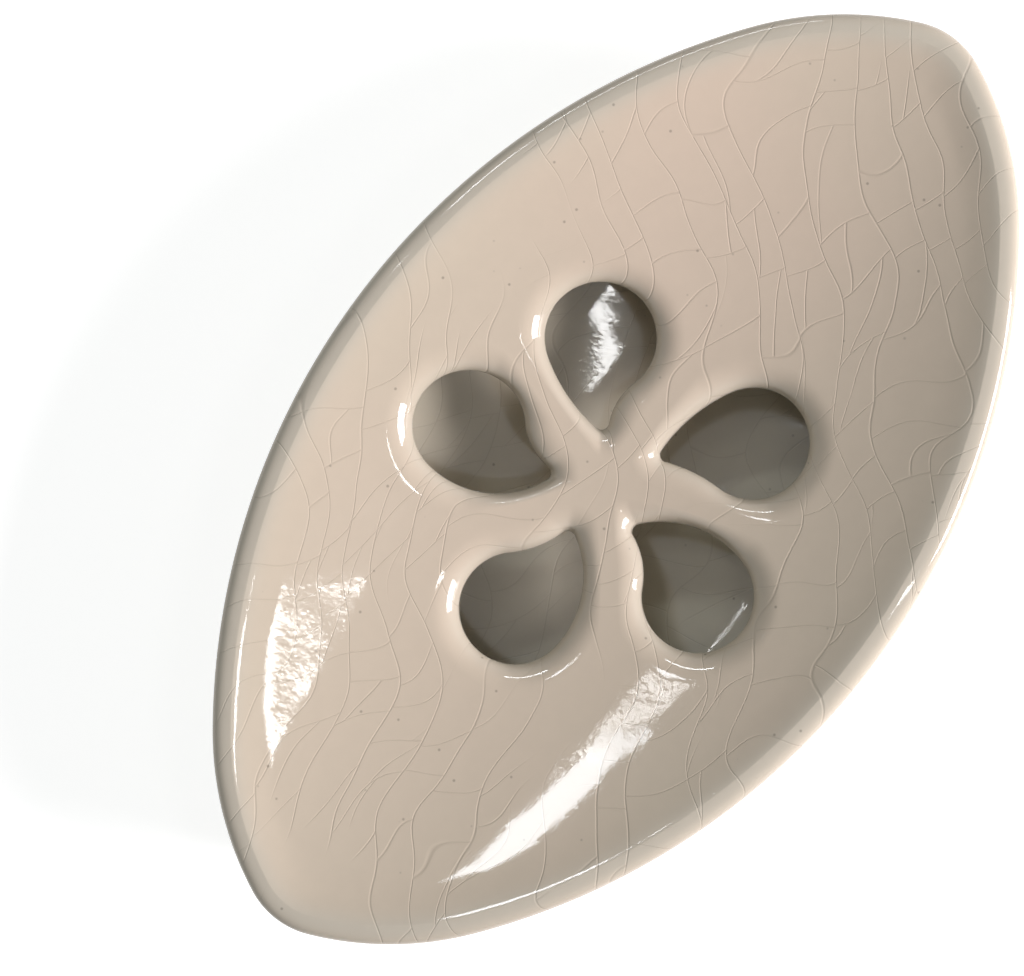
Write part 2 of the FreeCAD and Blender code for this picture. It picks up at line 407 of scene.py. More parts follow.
class NodeSheet:
    """Adds nodes to a tree and wires them, so that an effect reads as a list of steps."""

    COLOUR_MIX_INPUTS = (0, 6, 7)
    COLOUR_MIX_OUTPUT = 2

    def __init__(self, tree: bpy.types.NodeTree) -> None:
        """Keeps the tree that the nodes go into."""
        self.tree = tree

    def add(self, kind: str, settings: dict[str, Any] | None = None, **sockets: Any) -> bpy.types.Node:
        """Adds a node.

        Args:
            kind: The node's type, without its leading ShaderNode.
            settings: The node's own properties.
            **sockets: Values or sockets for its inputs, by name with _ for a space.

        Returns:
            The new node.
        """
        node = self.tree.nodes.new("ShaderNode" + kind)
        for key, value in (settings or {}).items():
            setattr(node, key, value)
        for key, value in sockets.items():
            self.feed(node.inputs[key.replace("_", " ")], value)
        return node

    def feed(self, socket: Socket, value: Any) -> None:
        """Links a socket to another, or sets its value."""
        if isinstance(value, Socket):
            self.tree.links.new(value, socket)
        else:
            socket.default_value = value

    def maths(self, operation: str, *values: Any) -> Socket:
        """The result of a Math node on numbers or sockets."""
        node = self.add("Math", {"operation": operation})
        for socket, value in zip(node.inputs, values):
            self.feed(socket, value)
        return node.outputs[0]

    def vectors(self, operation: str, first: Any, second: Any) -> Socket:
        """The vector result of a Vector Math node."""
        node = self.add("VectorMath", {"operation": operation})
        self.feed(node.inputs[0], first)
        self.feed(node.inputs[1], second)
        return node.outputs["Vector"]

    def step(self, value: Any, low: Any, high: Any, at_low: float = 0.0, at_high: float = 1.0) -> Socket:
        """A smooth step between two values of a socket."""
        node = self.add("MapRange", {"interpolation_type": "SMOOTHSTEP"}, Value=value,
                        From_Min=low, From_Max=high, To_Min=at_low, To_Max=at_high)
        return node.outputs["Result"]

    def blend(self, share: Any, first: Any, second: Any, way: str = "MIX") -> Socket:
        """Two colours mixed by a share."""
        node = self.add("Mix", {"data_type": "RGBA", "blend_type": way})
        for number, value in zip(self.COLOUR_MIX_INPUTS, (share, first, second)):
            self.feed(node.inputs[number], value)
        return node.outputs[self.COLOUR_MIX_OUTPUT]

    def seen(self) -> Socket:
        """1 for the camera's rays and for those of reflections and clear things, 0 for the rest."""
        path = self.add("LightPath").outputs
        mirrored = self.maths("MAXIMUM", path["Is Glossy Ray"], path["Is Transmission Ray"])
        return self.maths("MAXIMUM", path["Is Camera Ray"], mirrored)

    def noise(self, vector: Any, scale: float, detail: float = 2.0) -> bpy.types.Node:
        """A noise texture on a vector."""
        return self.add("TexNoise", Vector=vector, Scale=scale, Detail=detail)


def rgba(colour: Colour) -> tuple[float, float, float, float]:
    """A colour with full alpha."""
    return (*colour, 1.0)


@dataclass(frozen=True)
class CrackRank:
    """One rank of cracks: its pace and slant, and the patch values over which it comes in."""

    pace: float
    slant: float
    patches: Span


@dataclass
class GlazeGroups:
    """The node groups that the glazes share. Scales are per metre, shifts in metres, widths in cells."""

    bend_scale: float = 9.0
    bend_shift: float = 0.03
    wave_scale: float = 40.0
    wave_detail: float = 0.6
    wave_shift: float = 0.028
    patch_scale: float = 30.0
    long: CrackRank = CrackRank(1.0, 0.0, (0.30, 0.40))
    cross: CrackRank = CrackRank(0.85, 0.58, (0.34, 0.44))
    short: CrackRank = CrackRank(0.75, 0.35, (0.42, 0.52))
    short_cells: Span = (0.40, 0.45)
    crack_width: float = 0.015
    groove_width: float = 0.026
    drift_scale: float = 13.0
    drift_share: float = 0.5
    green_end: Span = (-0.085, 0.05)
    green_share: float = 0.45
    mottle_scale: float = 420.0
    mottle_shades: Span = (0.992, 1.008)
    speck_scale: float = 330.0
    speck_cells: Span = (0.55, 0.65)
    speck_radii: Span = (0.03, 0.11)
    speck_strength: float = 0.45
    speck_colour: Colour = (0.10, 0.08, 0.06)
    crack_strength: float = 0.16
    crack_colour: Colour = (0.22, 0.16, 0.11)
    roughness: float = 0.3
    crack_roughness: float = 0.2
    crackle: bpy.types.NodeTree = field(init=False)
    tint: bpy.types.NodeTree = field(init=False)

    def __post_init__(self) -> None:
        """Builds each group once."""
        self.crackle = self.make_crackle()
        self.tint = self.make_tint()

    @staticmethod
    def new_group(name: str, inputs: dict[str, str], outputs: dict[str, str]) -> tuple[NodeSheet, Any, Any]:
        """Starts a node group.

        Args:
            name: The group's name.
            inputs: Socket types by input name.
            outputs: Socket types by output name.

        Returns:
            The group's sheet, the sockets of its inputs and its output node.
        """
        tree = bpy.data.node_groups.new(name, "ShaderNodeTree")
        for side, sockets in (("INPUT", inputs), ("OUTPUT", outputs)):
            for socket, kind in sockets.items():
                tree.interface.new_socket(name=socket, in_out=side, socket_type="NodeSocket" + kind)
        return NodeSheet(tree), tree.nodes.new("NodeGroupInput").outputs, tree.nodes.new("NodeGroupOutput")

    def make_crackle(self) -> bpy.types.NodeTree:
        """Cracks in three ranks: long wavy ones, cross cracks that end at them, short ones that end at both.

        Each rank is the set of borders between random stretches of one coordinate, and a rank starts anew in
        every stretch of the rank before it.

        Returns:
            The group, which puts out the cracks' mask and how deep they lie.
        """
        sheet, given, out = self.new_group(
            "crackle", {"Vector": "Vector", "Scale": "Float"}, {"Crack": "Float", "Depth": "Float"})
        bends = sheet.noise(given["Vector"], self.bend_scale, detail=0.0)
        waves = sheet.noise(given["Vector"], self.wave_scale, self.wave_detail)
        bent = sheet.vectors("MULTIPLY", bends.outputs["Color"], (self.bend_shift, self.bend_shift, 0.0))
        waved = sheet.vectors("MULTIPLY", waves.outputs["Color"], (self.wave_shift, self.wave_shift, 0.0))
        moved = sheet.vectors("ADD", given["Vector"], sheet.vectors("ADD", bent, waved))
        place = sheet.add("SeparateXYZ", Vector=moved).outputs
        patches = sheet.noise(given["Vector"], self.patch_scale, detail=1.0).outputs["Fac"]

        def borders(where: Any, pace: float) -> tuple[Socket, Socket]:
            """The way to the next crack in crack spacings, and a random number for each stretch."""
            line = {"voronoi_dimensions": "1D"}
            scale = sheet.maths("MULTIPLY", given["Scale"], pace)
            edge = sheet.add("TexVoronoi", line | {"feature": "DISTANCE_TO_EDGE"}, W=where, Scale=scale)
            stretch = sheet.add("TexVoronoi", line, W=where, Scale=scale)
            chance = sheet.add("SeparateColor", Color=stretch.outputs["Color"])
            return edge.outputs["Distance"], chance.outputs["Red"]

        long_way, strip = borders(place["Y"], self.long.pace)
        slanted = sheet.maths("MULTIPLY_ADD", place["Y"], self.cross.slant, place["X"])
        cross_way, cell = borders(sheet.maths("ADD", slanted, strip), self.cross.pace)
        upright = sheet.maths("MULTIPLY_ADD", place["X"], self.short.slant, place["Y"])
        short_way, _ = borders(sheet.maths("ADD", upright, sheet.maths("ADD", strip, cell)), self.short.pace)
        short_share = sheet.step(patches, *self.short.patches)
        ranks = (
            (long_way, self.long.pace, sheet.step(patches, *self.long.patches)),
            (cross_way, self.cross.pace, sheet.step(patches, *self.cross.patches)),
            (short_way, self.short.pace,
             sheet.maths("MULTIPLY", short_share, sheet.step(cell, *self.short_cells))),
        )

        def lines(width: float) -> Socket:
            """The strongest of the ranks' lines, each 1 on the crack and 0 a width away."""
            total = None
            for way, pace, share in ranks:
                line = sheet.maths("MULTIPLY", sheet.step(way, 0.0, width * pace, 1.0, 0.0), share)
                total = line if total is None else sheet.maths("MAXIMUM", total, line)
            return total

        sheet.feed(out.inputs["Crack"], lines(self.crack_width))
        sheet.feed(out.inputs["Depth"], lines(self.groove_width))
        return sheet.tree

    def make_tint(self) -> bpy.types.NodeTree:
        """The glaze's colour: a slow drift from beige to grey-green, thin edges and dark iron specks.

        Returns:
            The group, which puts out the colour and the roughness under the clear surface.
        """
        sheet, given, out = self.new_group(
            "glaze_tint",
            {"Vector": "Vector", "Thin": "Float", "Crack": "Float",
             "Warm": "Color", "Cool": "Color", "Edge": "Color"},
            {"Color": "Color", "Roughness": "Float"})
        place = given["Vector"]
        along = sheet.add("SeparateXYZ", Vector=place).outputs["X"]
        drift = sheet.step(sheet.noise(place, self.drift_scale).outputs["Fac"], *NOISE_SPAN)
        green = sheet.maths("MULTIPLY", sheet.step(along, *self.green_end, 1.0, 0.0), self.green_share)
        cool_share = sheet.maths("MULTIPLY_ADD", drift, self.drift_share, green)
        colour = sheet.blend(cool_share, given["Warm"], given["Cool"])
        colour = sheet.blend(given["Thin"], colour, given["Edge"])
        mottle = sheet.noise(place, self.mottle_scale, detail=3.0).outputs["Fac"]
        shade = sheet.step(mottle, *NOISE_SPAN, *self.mottle_shades)
        grey = sheet.add("CombineColor", Red=shade, Green=shade, Blue=shade).outputs["Color"]
        colour = sheet.blend(1.0, colour, grey, "MULTIPLY")
        dots = sheet.add("TexVoronoi", {"voronoi_dimensions": "3D"}, Vector=place, Scale=self.speck_scale)
        chance = sheet.add("SeparateColor", Color=dots.outputs["Color"]).outputs["Red"]
        dot = sheet.step(dots.outputs["Distance"], *self.speck_radii, self.speck_strength, 0.0)
        speck = sheet.maths("MULTIPLY", sheet.step(chance, *self.speck_cells), dot)
        colour = sheet.blend(speck, colour, rgba(self.speck_colour))
        crack = sheet.maths("MULTIPLY", given["Crack"], self.crack_strength)
        colour = sheet.blend(crack, colour, rgba(self.crack_colour))
        roughness = sheet.maths("MULTIPLY_ADD", given["Crack"], self.crack_roughness, self.roughness)
        sheet.feed(out.inputs["Color"], colour)
        sheet.feed(out.inputs["Roughness"], roughness)
        return sheet.tree


@dataclass(frozen=True)
class GlazeMaker:
    """Makes glaze materials from the shared groups. Scales are per metre, heights in metres."""

    groups: GlazeGroups
    broad_scale: float = 60.0
    broad_strength: float = 0.22
    broad_height: float = 0.0004
    fine_scale: float = 1000.0
    glaze_ior: float = 1.5
    bare_heights: Span = (0.0006, 0.0012)
    grain_scale: float = 900.0
    dark_clay: Colour = (0.52, 0.38, 0.26)
    pale_clay: Colour = (0.64, 0.50, 0.36)
    clay_roughness: float = 0.85

    def make(self, finish: GlazeFinish, bare_foot: bool) -> bpy.types.Material:
        """Builds one glaze: tinted body, crackle relief and a clear glossy coat.

        Args:
            finish: The glaze's values.
            bare_foot: Whether the lowest millimetre is bare clay.

        Returns:
            The material.
        """
        material = bpy.data.materials.new(finish.name)
        material.use_nodes = True
        sheet = NodeSheet(material.node_tree)
        shader = material.node_tree.nodes["Principled BSDF"]
        place = sheet.add("TexCoord").outputs["Object"]
        thin = sheet.add("Attribute", {"attribute_name": THIN_GLAZE}).outputs["Fac"]
        turned = sheet.add("Mapping", {"vector_type": "TEXTURE"}, Vector=place,
                           Rotation=(0.0, 0.0, math.radians(finish.crackle_turn))).outputs["Vector"]
        crackle = sheet.add("Group", {"node_tree": self.groups.crackle}, Vector=turned,
                            Scale=finish.crackle_scale)
        tint = sheet.add("Group", {"node_tree": self.groups.tint}, Vector=place, Thin=thin,
                         Crack=crackle.outputs["Crack"], Warm=rgba(finish.warm), Cool=rgba(finish.cool),
                         Edge=rgba(finish.edge))
        waves = sheet.noise(place, self.broad_scale).outputs["Fac"]
        ripples = sheet.noise(place, self.fine_scale).outputs["Fac"]
        broad = sheet.add("Bump", Strength=self.broad_strength, Distance=self.broad_height, Height=waves)
        soft = sheet.add("Bump", Strength=1.0, Distance=finish.ripple, Height=ripples,
                         Normal=broad.outputs["Normal"])
        cracked = sheet.add("Bump", {"invert": True}, Strength=1.0, Distance=finish.relief,
                            Height=crackle.outputs["Depth"], Normal=soft.outputs["Normal"])
        colour, roughness, coat = tint.outputs["Color"], tint.outputs["Roughness"], 1.0
        if bare_foot:
            level = sheet.add("SeparateXYZ", Vector=place).outputs["Z"]
            bare = sheet.step(level, *self.bare_heights, 1.0, 0.0)
            grain = sheet.step(sheet.noise(place, self.grain_scale, detail=4.0).outputs["Fac"], *NOISE_SPAN)
            clay = sheet.blend(grain, rgba(self.dark_clay), rgba(self.pale_clay))
            colour = sheet.blend(bare, colour, clay)
            clay_roughness = sheet.maths("MULTIPLY", bare, self.clay_roughness)
            roughness = sheet.maths("MAXIMUM", roughness, clay_roughness)
            coat = sheet.maths("SUBTRACT", 1.0, bare)
        values = {
            "Base Color": colour, "Roughness": roughness, "IOR": self.glaze_ior, "Specular IOR Level": 0.0,
            "Coat Weight": coat, "Coat IOR": self.glaze_ior, "Coat Roughness": finish.coat_roughness,
            "Normal": cracked.outputs["Normal"], "Coat Normal": soft.outputs["Normal"],
        }
        for name, value in values.items():
            sheet.feed(shader.inputs[name], value)
        return material


@dataclass
class DrainPlate:
    """The upper piece: a dished leaf with a rolled rim, five drain holes, a seat and a locating flange."""

    leaf: Leaf = field(default_factory=Leaf)
    bowl: Bowl = field(default_factory=Bowl)
    underside: Trough = Trough(16.132, 111.8)
    rim_height: float = 30.0
    rim_roll: float = 3.2
    roll_fullness: float = 3.5
    roll_rows: int = 16
    roll_crowding: float = 1.75
    crest_fall: float = 0.02
    crease: float = 0.25
    settle_pace: float = 2.0
    field_inset: float = 10.0
    seat_height: float = 20.5
    seat_inset: float = 4.5
    flange_outer: float = 9.8
    flange_inner: float = 12.8
    flange_low: float = 17.5
    flange_round: float = 0.6
    under_thin: float = 0.3
    under_inset: float = 13.6
    overhang_top: float = 26.0
    overhang_round: float = 0.7
    seat_round: float = 0.8
    shoulder_round: float = 0.5
    rim_thin_inset: float = 2.4
    rim_thin_reach: float = 2.2
    lip_thin: float = 0.8
    lip_thin_reach: float = 1.5
    lip_reach: float = 4.2
    lip_depth: float = 2.6
    under_lip: float = 1.2
    spoke_steps: int = 60
    spoke_samples: int = 600
    lip_clearance: float = 0.7
    least_lip: float = 0.5
    field_rows: int = 22
    inner_rows: int = 18
    lip_rows: int = 12
    under_lip_rows: int = 5
    under_rows: int = 8
    corner_rows: int = 6
    drops: tuple[Drop, ...] = (
        Drop(39.7, 22.3, 2.0, 26.0, 10.0),
        Drop(105.6, 22.8, -6.0, 15.0, 10.0),
        Drop(181.4, 24.2, 2.0, 16.0, 17.0),
        Drop(256.0, 22.3, 7.0, 16.0, 12.0),
        Drop(322.8, 23.3, -6.0, 26.0, 24.0),
    )
    finish: GlazeFinish = GlazeFinish(
        "plate_crackle_glaze",
        warm=(0.640, 0.515, 0.410), cool=(0.575, 0.510, 0.400), edge=(0.580, 0.520, 0.430))

    def rim_rows(self) -> tuple[Array, Array, Array]:
        """The rim's section, from the edge of the field over the roll and the seat to the underside.

        The first rows close in on the crest as a square; the roll is a quarter of a full oval, inset and
        height each a power of the turn's sine or cosine; the rest is a rounded section line.

        Returns:
            Insets of the rows on the bowl's side, and insets and heights of the rows outside the crest.
        """
        share = np.linspace(1.0, 0.0, self.inner_rows)
        inner = self.rim_roll + (self.field_inset - self.rim_roll) * share**2
        out = np.linspace(0.0, 1.0, self.roll_rows + 1)[1:] ** self.roll_crowding
        back = np.linspace(1.0, 0.0, self.roll_rows + 1)[1:] ** self.roll_crowding
        turn = math.pi / 2 * out / (out + back)
        waves = np.clip([np.sin(turn), np.cos(turn)], 0.0, 1.0)
        aside, over = waves ** (2 / self.roll_fullness)
        roll = np.stack([self.rim_roll * (1 - aside), self.rim_height - self.rim_roll * (1 - over)], axis=1)
        outside = rounded_path([
            (0.0, self.rim_height - self.rim_roll, 0.0),
            (0.0, self.overhang_top, self.overhang_round),
            (self.seat_inset, self.seat_height, self.seat_round),
            (self.flange_outer, self.seat_height, self.shoulder_round),
            (self.flange_outer, self.flange_low, self.flange_round),
            (self.flange_inner, self.flange_low, self.flange_round),
            (self.flange_inner, self.flange_low + self.flange_round, 0.0),
        ], self.corner_rows)
        outer = np.concatenate([roll, outside[1:-1]])
        return inner, outer[:, 0], outer[:, 1]

    def rim_grid(self) -> tuple[Array, Array]:
        """The rim strip: its section carried round parallel outlines of the leaf.

        On the bowl's side the bowl settles, by the square of its nearness, until it ends level with the
        crest, and the height is the lower of the two with a rounded crease; at the edge of the field it is
        the bowl's own. Both are raised by what the crease takes off where they meet. The flange's inner
        corner bends up or down to the trough underneath, whichever way that lies.

        Returns:
            The points and how thin the glaze lies on them.
        """
        inner, outer, heights = self.rim_rows()
        insets = np.concatenate([inner, outer, [self.flange_inner, self.under_inset]])
        plan = self.leaf.parallel(insets)
        x, y = plan[..., 0], plan[..., 1]
        bowl = self.bowl.height(x, y)
        first, last = len(inner), len(inner) + len(outer)
        fall = insets[:, None] - self.rim_roll
        level = self.rim_height + self.crease * math.log(2.0)
        crest = level - self.crest_fall * np.maximum(fall, 0.0)
        near = np.clip((self.field_inset - insets[:, None]) / (self.field_inset - self.rim_roll), 0.0, 1.0)
        settled = bowl - (bowl[first - 1] - level) * near**2
        z = bowl + (lower_of(settled, crest, self.crease) - bowl) * ease(near * self.settle_pace)
        z[first:last] = heights[:, None]
        under = self.underside.height(y)
        corner = slice(last - self.corner_rows, last)
        bend = np.clip((under[last] - self.flange_low) / self.flange_round, -1.0, 1.0)
        z[corner] = self.flange_low + (z[corner] - self.flange_low) * bend
        z[last:] = under[last:]
        away = (insets - self.rim_thin_inset) / self.rim_thin_reach
        thin = np.exp(-(away**2))[:, None] * np.ones_like(z)
        thin[first + np.argmax(heights < self.overhang_top):] = self.under_thin
        return np.stack([x, y, z], axis=-1), thin

    def spoke_starts(self, edge: Array) -> Array:
        """The points of the field's edge where the spokes between the holes end.

        Args:
            edge: The field's edge, as complex places.

        Returns:
            The edge's point numbers, one per spoke.
        """
        bearings = np.array([drop.bearing for drop in self.drops])
        before = np.roll(bearings, 1)
        before[0] -= 360.0
        spokes = np.exp(1j * np.radians((bearings + before) / 2))
        ways = (edge - self.drops[0].middle) / np.abs(edge - self.drops[0].middle)
        return np.argmax((ways[None] * np.conj(spokes)[:, None]).real, axis=1)

    def facing(self, drop: Drop, end: complex, first_side: bool) -> tuple[Array, Array]:
        """The edge points of a hole that face one of its two spokes.

        A point faces the place where its outward direction meets the spoke. That place's distance from the
        middle is the cross product of the point and its direction over that of the spoke and the direction.

        Args:
            drop: The hole.
            end: Where the spoke ends.
            first_side: Whether the hole's edge starts along this spoke; otherwise it ends along it.

        Returns:
            Distances from the middle, growing, and the run along the edge for each.
        """
        run, places, ways, turns = drop.outline()
        corner_turn = np.unwrap([turns[len(turns) // 2], np.angle(end - drop.head)])[1]
        corner = np.interp(corner_turn, turns, run)
        side = np.flatnonzero(run < corner) if first_side else np.flatnonzero(run > corner)[::-1]
        reach = abs(end - drop.middle)
        spoke = (end - drop.middle) / reach
        met = ((places - drop.middle) * np.conj(ways)).imag[side] / (spoke * np.conj(ways)).imag[side]
        met = np.maximum.accumulate(np.clip(met, 0.0, reach))
        return np.append(met, reach), np.append(run[side], corner)

    def spoke_shares(self, number: int, end: complex) -> Array:
        """Where the points of a spoke lie, as shares of its length.

        Each step covers the same sum of the ways along the spoke and along the edges of the holes beside it.

        Args:
            number: The hole whose first spoke it is.
            end: Where the spoke ends.

        Returns:
            The shares, from 0 at the middle.
        """
        reach = abs(end - self.drops[number].middle)
        radii = np.linspace(0.0, reach, self.spoke_samples)
        travelled = radii.copy()
        for drop, first_side in ((self.drops[number], True), (self.drops[number - 1], False)):
            met, runs = self.facing(drop, end, first_side)
            travelled += np.abs(np.interp(radii, met, runs) - runs[0])
        steps = np.linspace(0.0, travelled[-1], self.spoke_steps, endpoint=False)
        return np.interp(steps, travelled, radii) / reach

    def sector_edge(self, edge: Array, starts: Array, shares: list[Array], number: int) -> Array:
        """The closed border of one hole's share of a face: out along a spoke, round the edge and back.

        Args:
            edge: The face's edge, as complex places.
            starts: Point numbers of the spokes' ends on the edge.
            shares: Where the points of each spoke lie.
            number: Which hole.

        Returns:
            The border's places.
        """
        middle, after = self.drops[number].middle, (number + 1) % len(starts)
        count = (starts[after] - starts[number]) % len(edge)
        rim = edge[(starts[number] + np.arange(count + 1)) % len(edge)]
        out = middle + (rim[0] - middle) * shares[number]
        back = middle + (rim[-1] - middle) * shares[after][:0:-1]
        return np.concatenate([out, rim, back])

    def edge_runs(self, drop: Drop, border: Array) -> Array:
        """Which point of a hole's edge each point of its border belongs to.

        Along a spoke it is the edge point that faces it; round the field's edge the points are spread evenly.

        Args:
            drop: The hole.
            border: The border's places.

        Returns:
            The run along the edge for each border point.
        """
        radii = np.abs(border - drop.middle)
        first, last = self.spoke_steps, len(border) - self.spoke_steps
        met_first, runs_first = self.facing(drop, border[first], True)
        met_last, runs_last = self.facing(drop, border[last], False)
        return np.concatenate([
            np.interp(radii[:first], met_first, runs_first),
            np.linspace(runs_first[-1], runs_last[-1], last - first + 1),
            np.interp(radii[last + 1:], met_last, runs_last),
        ])

    def hole_grid(self, number: int, top: Array, under: Array) -> tuple[Array, Array]:
        """One hole with its share of both faces of the plate.

        Rows run from the underside's border in to the hole, up its wall, over its lip and out to the field's
        border. On the wall a place is the hole's edge moved out by a growth and along the bowl's slope by the
        depth; on the faces it slides from there to the border. Both lips are quarter ellipses, one a rise
        over the underside, the other a fall below the bowl; near a spoke the upper lip is narrower.

        Args:
            number: Which hole.
            top: The border of its share of the upper face, as complex places.
            under: The border of its share of the underside.

        Returns:
            The points and how thin the glaze lies on them.
        """
        drop = self.drops[number]
        run, places, ways, _ = drop.outline()
        at = self.edge_runs(drop, top)
        edge, way = np.interp(at, run, places), np.interp(at, run, ways)
        way /= np.abs(way)

        lip_turn = np.linspace(0.0, math.pi / 2, self.lip_rows)
        under_turn = np.linspace(0.0, math.pi / 2, self.under_lip_rows)
        slide_under = np.linspace(1.0, 0.0, self.under_rows, endpoint=False)
        slide_top = np.linspace(0.0, 1.0, self.field_rows + 1)[1:]
        room = self.lip_clearance * ((top - edge) * np.conj(way)).real
        reach = np.clip(room, self.least_lip, self.lip_reach)
        low_growth = self.under_lip * np.append(np.ones(self.under_rows), 1 - np.sin(under_turn))
        top_growth = np.append(1 - np.cos(lip_turn), np.ones(self.field_rows))
        growth = np.concatenate([low_growth[:, None] * np.ones_like(reach), top_growth[:, None] * reach])
        rise = np.concatenate([np.zeros(self.under_rows), self.under_lip * (1 - np.cos(under_turn))])[:, None]
        fall = np.concatenate([self.lip_depth * (1 - np.sin(lip_turn)), np.zeros(self.field_rows)])[:, None]
        thickness = self.bowl.height(edge.real, edge.imag) - self.underside.height(edge.imag)
        depth = np.concatenate([thickness - rise, fall * np.ones_like(thickness)])
        slide = np.concatenate([slide_under, np.zeros(len(under_turn) + len(lip_turn)), slide_top])
        border = np.where((np.arange(len(slide)) < self.under_rows)[:, None], under[None], top[None])
        slope = self.bowl.lean((drop.head + drop.tip) / 2)
        plan = edge[None] + way[None] * growth + slope * depth
        plan = plan + (border - plan) * slide[:, None]
        low, high = np.split(plan, [len(rise)])
        z = np.concatenate([
            self.underside.height(low.imag) + rise, self.bowl.height(high.real, high.imag) - fall])
        thin = self.lip_thin * np.exp(-((growth / self.lip_thin_reach) ** 2)) * (slide == 0.0)[:, None]
        return np.stack([plan.real, plan.imag, z], axis=-1), thin

    def build(self) -> bpy.types.Object:
        """Builds the plate as one closed mesh."""
        shell = Shell()
        shell.add_grid(*self.rim_grid())
        edges = self.leaf.parallel([self.field_inset, self.under_inset])
        top_edge, under_edge = (edge[:, 0] + 1j * edge[:, 1] for edge in edges)
        starts = self.spoke_starts(top_edge)
        shares = [self.spoke_shares(number, top_edge[start]) for number, start in enumerate(starts)]
        for number in range(len(self.drops)):
            top, under = (self.sector_edge(edge, starts, shares, number) for edge in (top_edge, under_edge))
            shell.add_grid(*self.hole_grid(number, top, under))
        return shell.to_object("glazed_drain_plate")

    def dress(self, piece: bpy.types.Object, glazes: GlazeMaker) -> None:
        """Gives the plate its glaze and places it on its body."""
        piece.data.materials.append(glazes.make(self.finish, bare_foot=False))
        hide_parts("drain_plate")
        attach(piece, Body.PLATE.value)


@dataclass
class DripTray:
    """The lower piece: a low boat with a trough floor, a level rim for the plate and a foot ring."""

    leaf: Leaf = field(default_factory=Leaf)
    floor: Trough = Trough(6.0, 78.0)
    underside: Trough = Trough(1.5, 82.5)
    rim_height: float = 20.5
    rim_inset: float = 4.5
    mouth_inset: float = 9.0
    collar_low: float = 16.0
    floor_height: float = 6.0
    floor_inset: float = 11.4
    foot_inset: float = 11.0
    foot_height: float = 2.5
    foot_wall: float = 4.5
    floor_crease: float = 0.8
    floor_sink: float = 40.0
    rim_round: float = 0.9
    foot_round: float = 0.7
    thin_reach: float = 1.2
    floor_rows: int = 26
    wall_rows: int = 14
    corner_rows: int = 6
    finish: GlazeFinish = GlazeFinish(
        "tray_crackle_glaze",
        warm=(0.590, 0.525, 0.420), cool=(0.540, 0.510, 0.405), edge=(0.550, 0.500, 0.410), crackle_turn=20.0)

    def section(self) -> Array:
        """The tray's section from the edge of its floor over the rim and the foot to its underside.

        Both walls curve as quarter ellipses: the inset eases with the sine and the height with the cosine of
        one turn.

        Returns:
            Inset and height of each point.
        """
        turn = np.linspace(0.0, math.pi / 2, self.wall_rows)[1:-1]

        def wall(low_inset: float, top_inset: float, low: float, turn: Array) -> Array:
            """Inset and height of a wall that curves up to the collar."""
            height = low + (self.collar_low - low) * (1 - np.cos(turn))
            return np.stack([low_inset - (low_inset - top_inset) * np.sin(turn), height], axis=1)

        inside = wall(self.floor_inset, self.mouth_inset, self.floor_height, turn)
        hull = wall(self.foot_inset, self.rim_inset, self.foot_height, turn[::-1])
        rim = rounded_path([
            (self.mouth_inset, self.collar_low, 0.0),
            (self.mouth_inset, self.rim_height, self.rim_round),
            (self.rim_inset, self.rim_height, self.rim_round),
            (self.rim_inset, self.collar_low, 0.0),
        ], self.corner_rows)
        foot = rounded_path([
            (self.foot_inset, self.foot_height, 0.0),
            (self.foot_inset, 0.0, self.foot_round),
            (self.foot_inset + self.foot_wall, 0.0, self.foot_round),
            (self.foot_inset + self.foot_wall, self.underside.low, 0.0),
        ], self.corner_rows)
        return np.concatenate([inside, rim, hull, foot])

    def build(self) -> bpy.types.Object:
        """Builds the tray: its section carried round the leaf, closed by a floor and an underside.

        Inside, the height is the higher of the section and the floor's trough, with a rounded crease; under
        the middle of the floor the section sinks away. The underside follows its own trough within the foot.

        Returns:
            The tray as one closed mesh.
        """
        section = self.section()
        plan = self.leaf.parallel(section[:, 0])
        shrink = np.linspace(0.0, 1.0, self.floor_rows, endpoint=False)[:, None, None]
        floor_leaf, under_leaf = self.leaf.parallel([self.floor_inset, section[-1, 0]])
        floor_plan, under_plan = floor_leaf[None] * shrink, under_leaf[None] * shrink[::-1]
        whole = np.concatenate([floor_plan, floor_leaf[None], plan, under_plan])
        sunk = self.floor_height - self.floor_sink * (1.0 - np.append(shrink, 1.0))
        levels = np.concatenate([sunk, section[:, 1], np.full(self.floor_rows, self.underside.low)])
        z = levels[:, None] * np.ones(whole.shape[1])
        inner = len(sunk) + np.argmax(section[:, 0] == self.mouth_inset) + 1
        z[:inner] = -lower_of(-z[:inner], -self.floor.height(whole[:inner, :, 1]), self.floor_crease)
        z[-1 - self.floor_rows:] = self.underside.height(whole[-1 - self.floor_rows:, :, 1])
        thin = np.exp(-(((levels - self.rim_height) / self.thin_reach) ** 2))[:, None] * np.ones_like(z)
        shell = Shell()
        shell.add_grid(np.concatenate([whole, z[..., None]], axis=-1), thin)
        return shell.to_object("glazed_drip_tray")

    def dress(self, piece: bpy.types.Object, glazes: GlazeMaker) -> None:
        """Gives the tray its glaze with a bare foot and places it on its body."""
        piece.data.materials.append(glazes.make(self.finish, bare_foot=True))
        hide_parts("drip_tray")
        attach(piece, Body.TRAY.value)


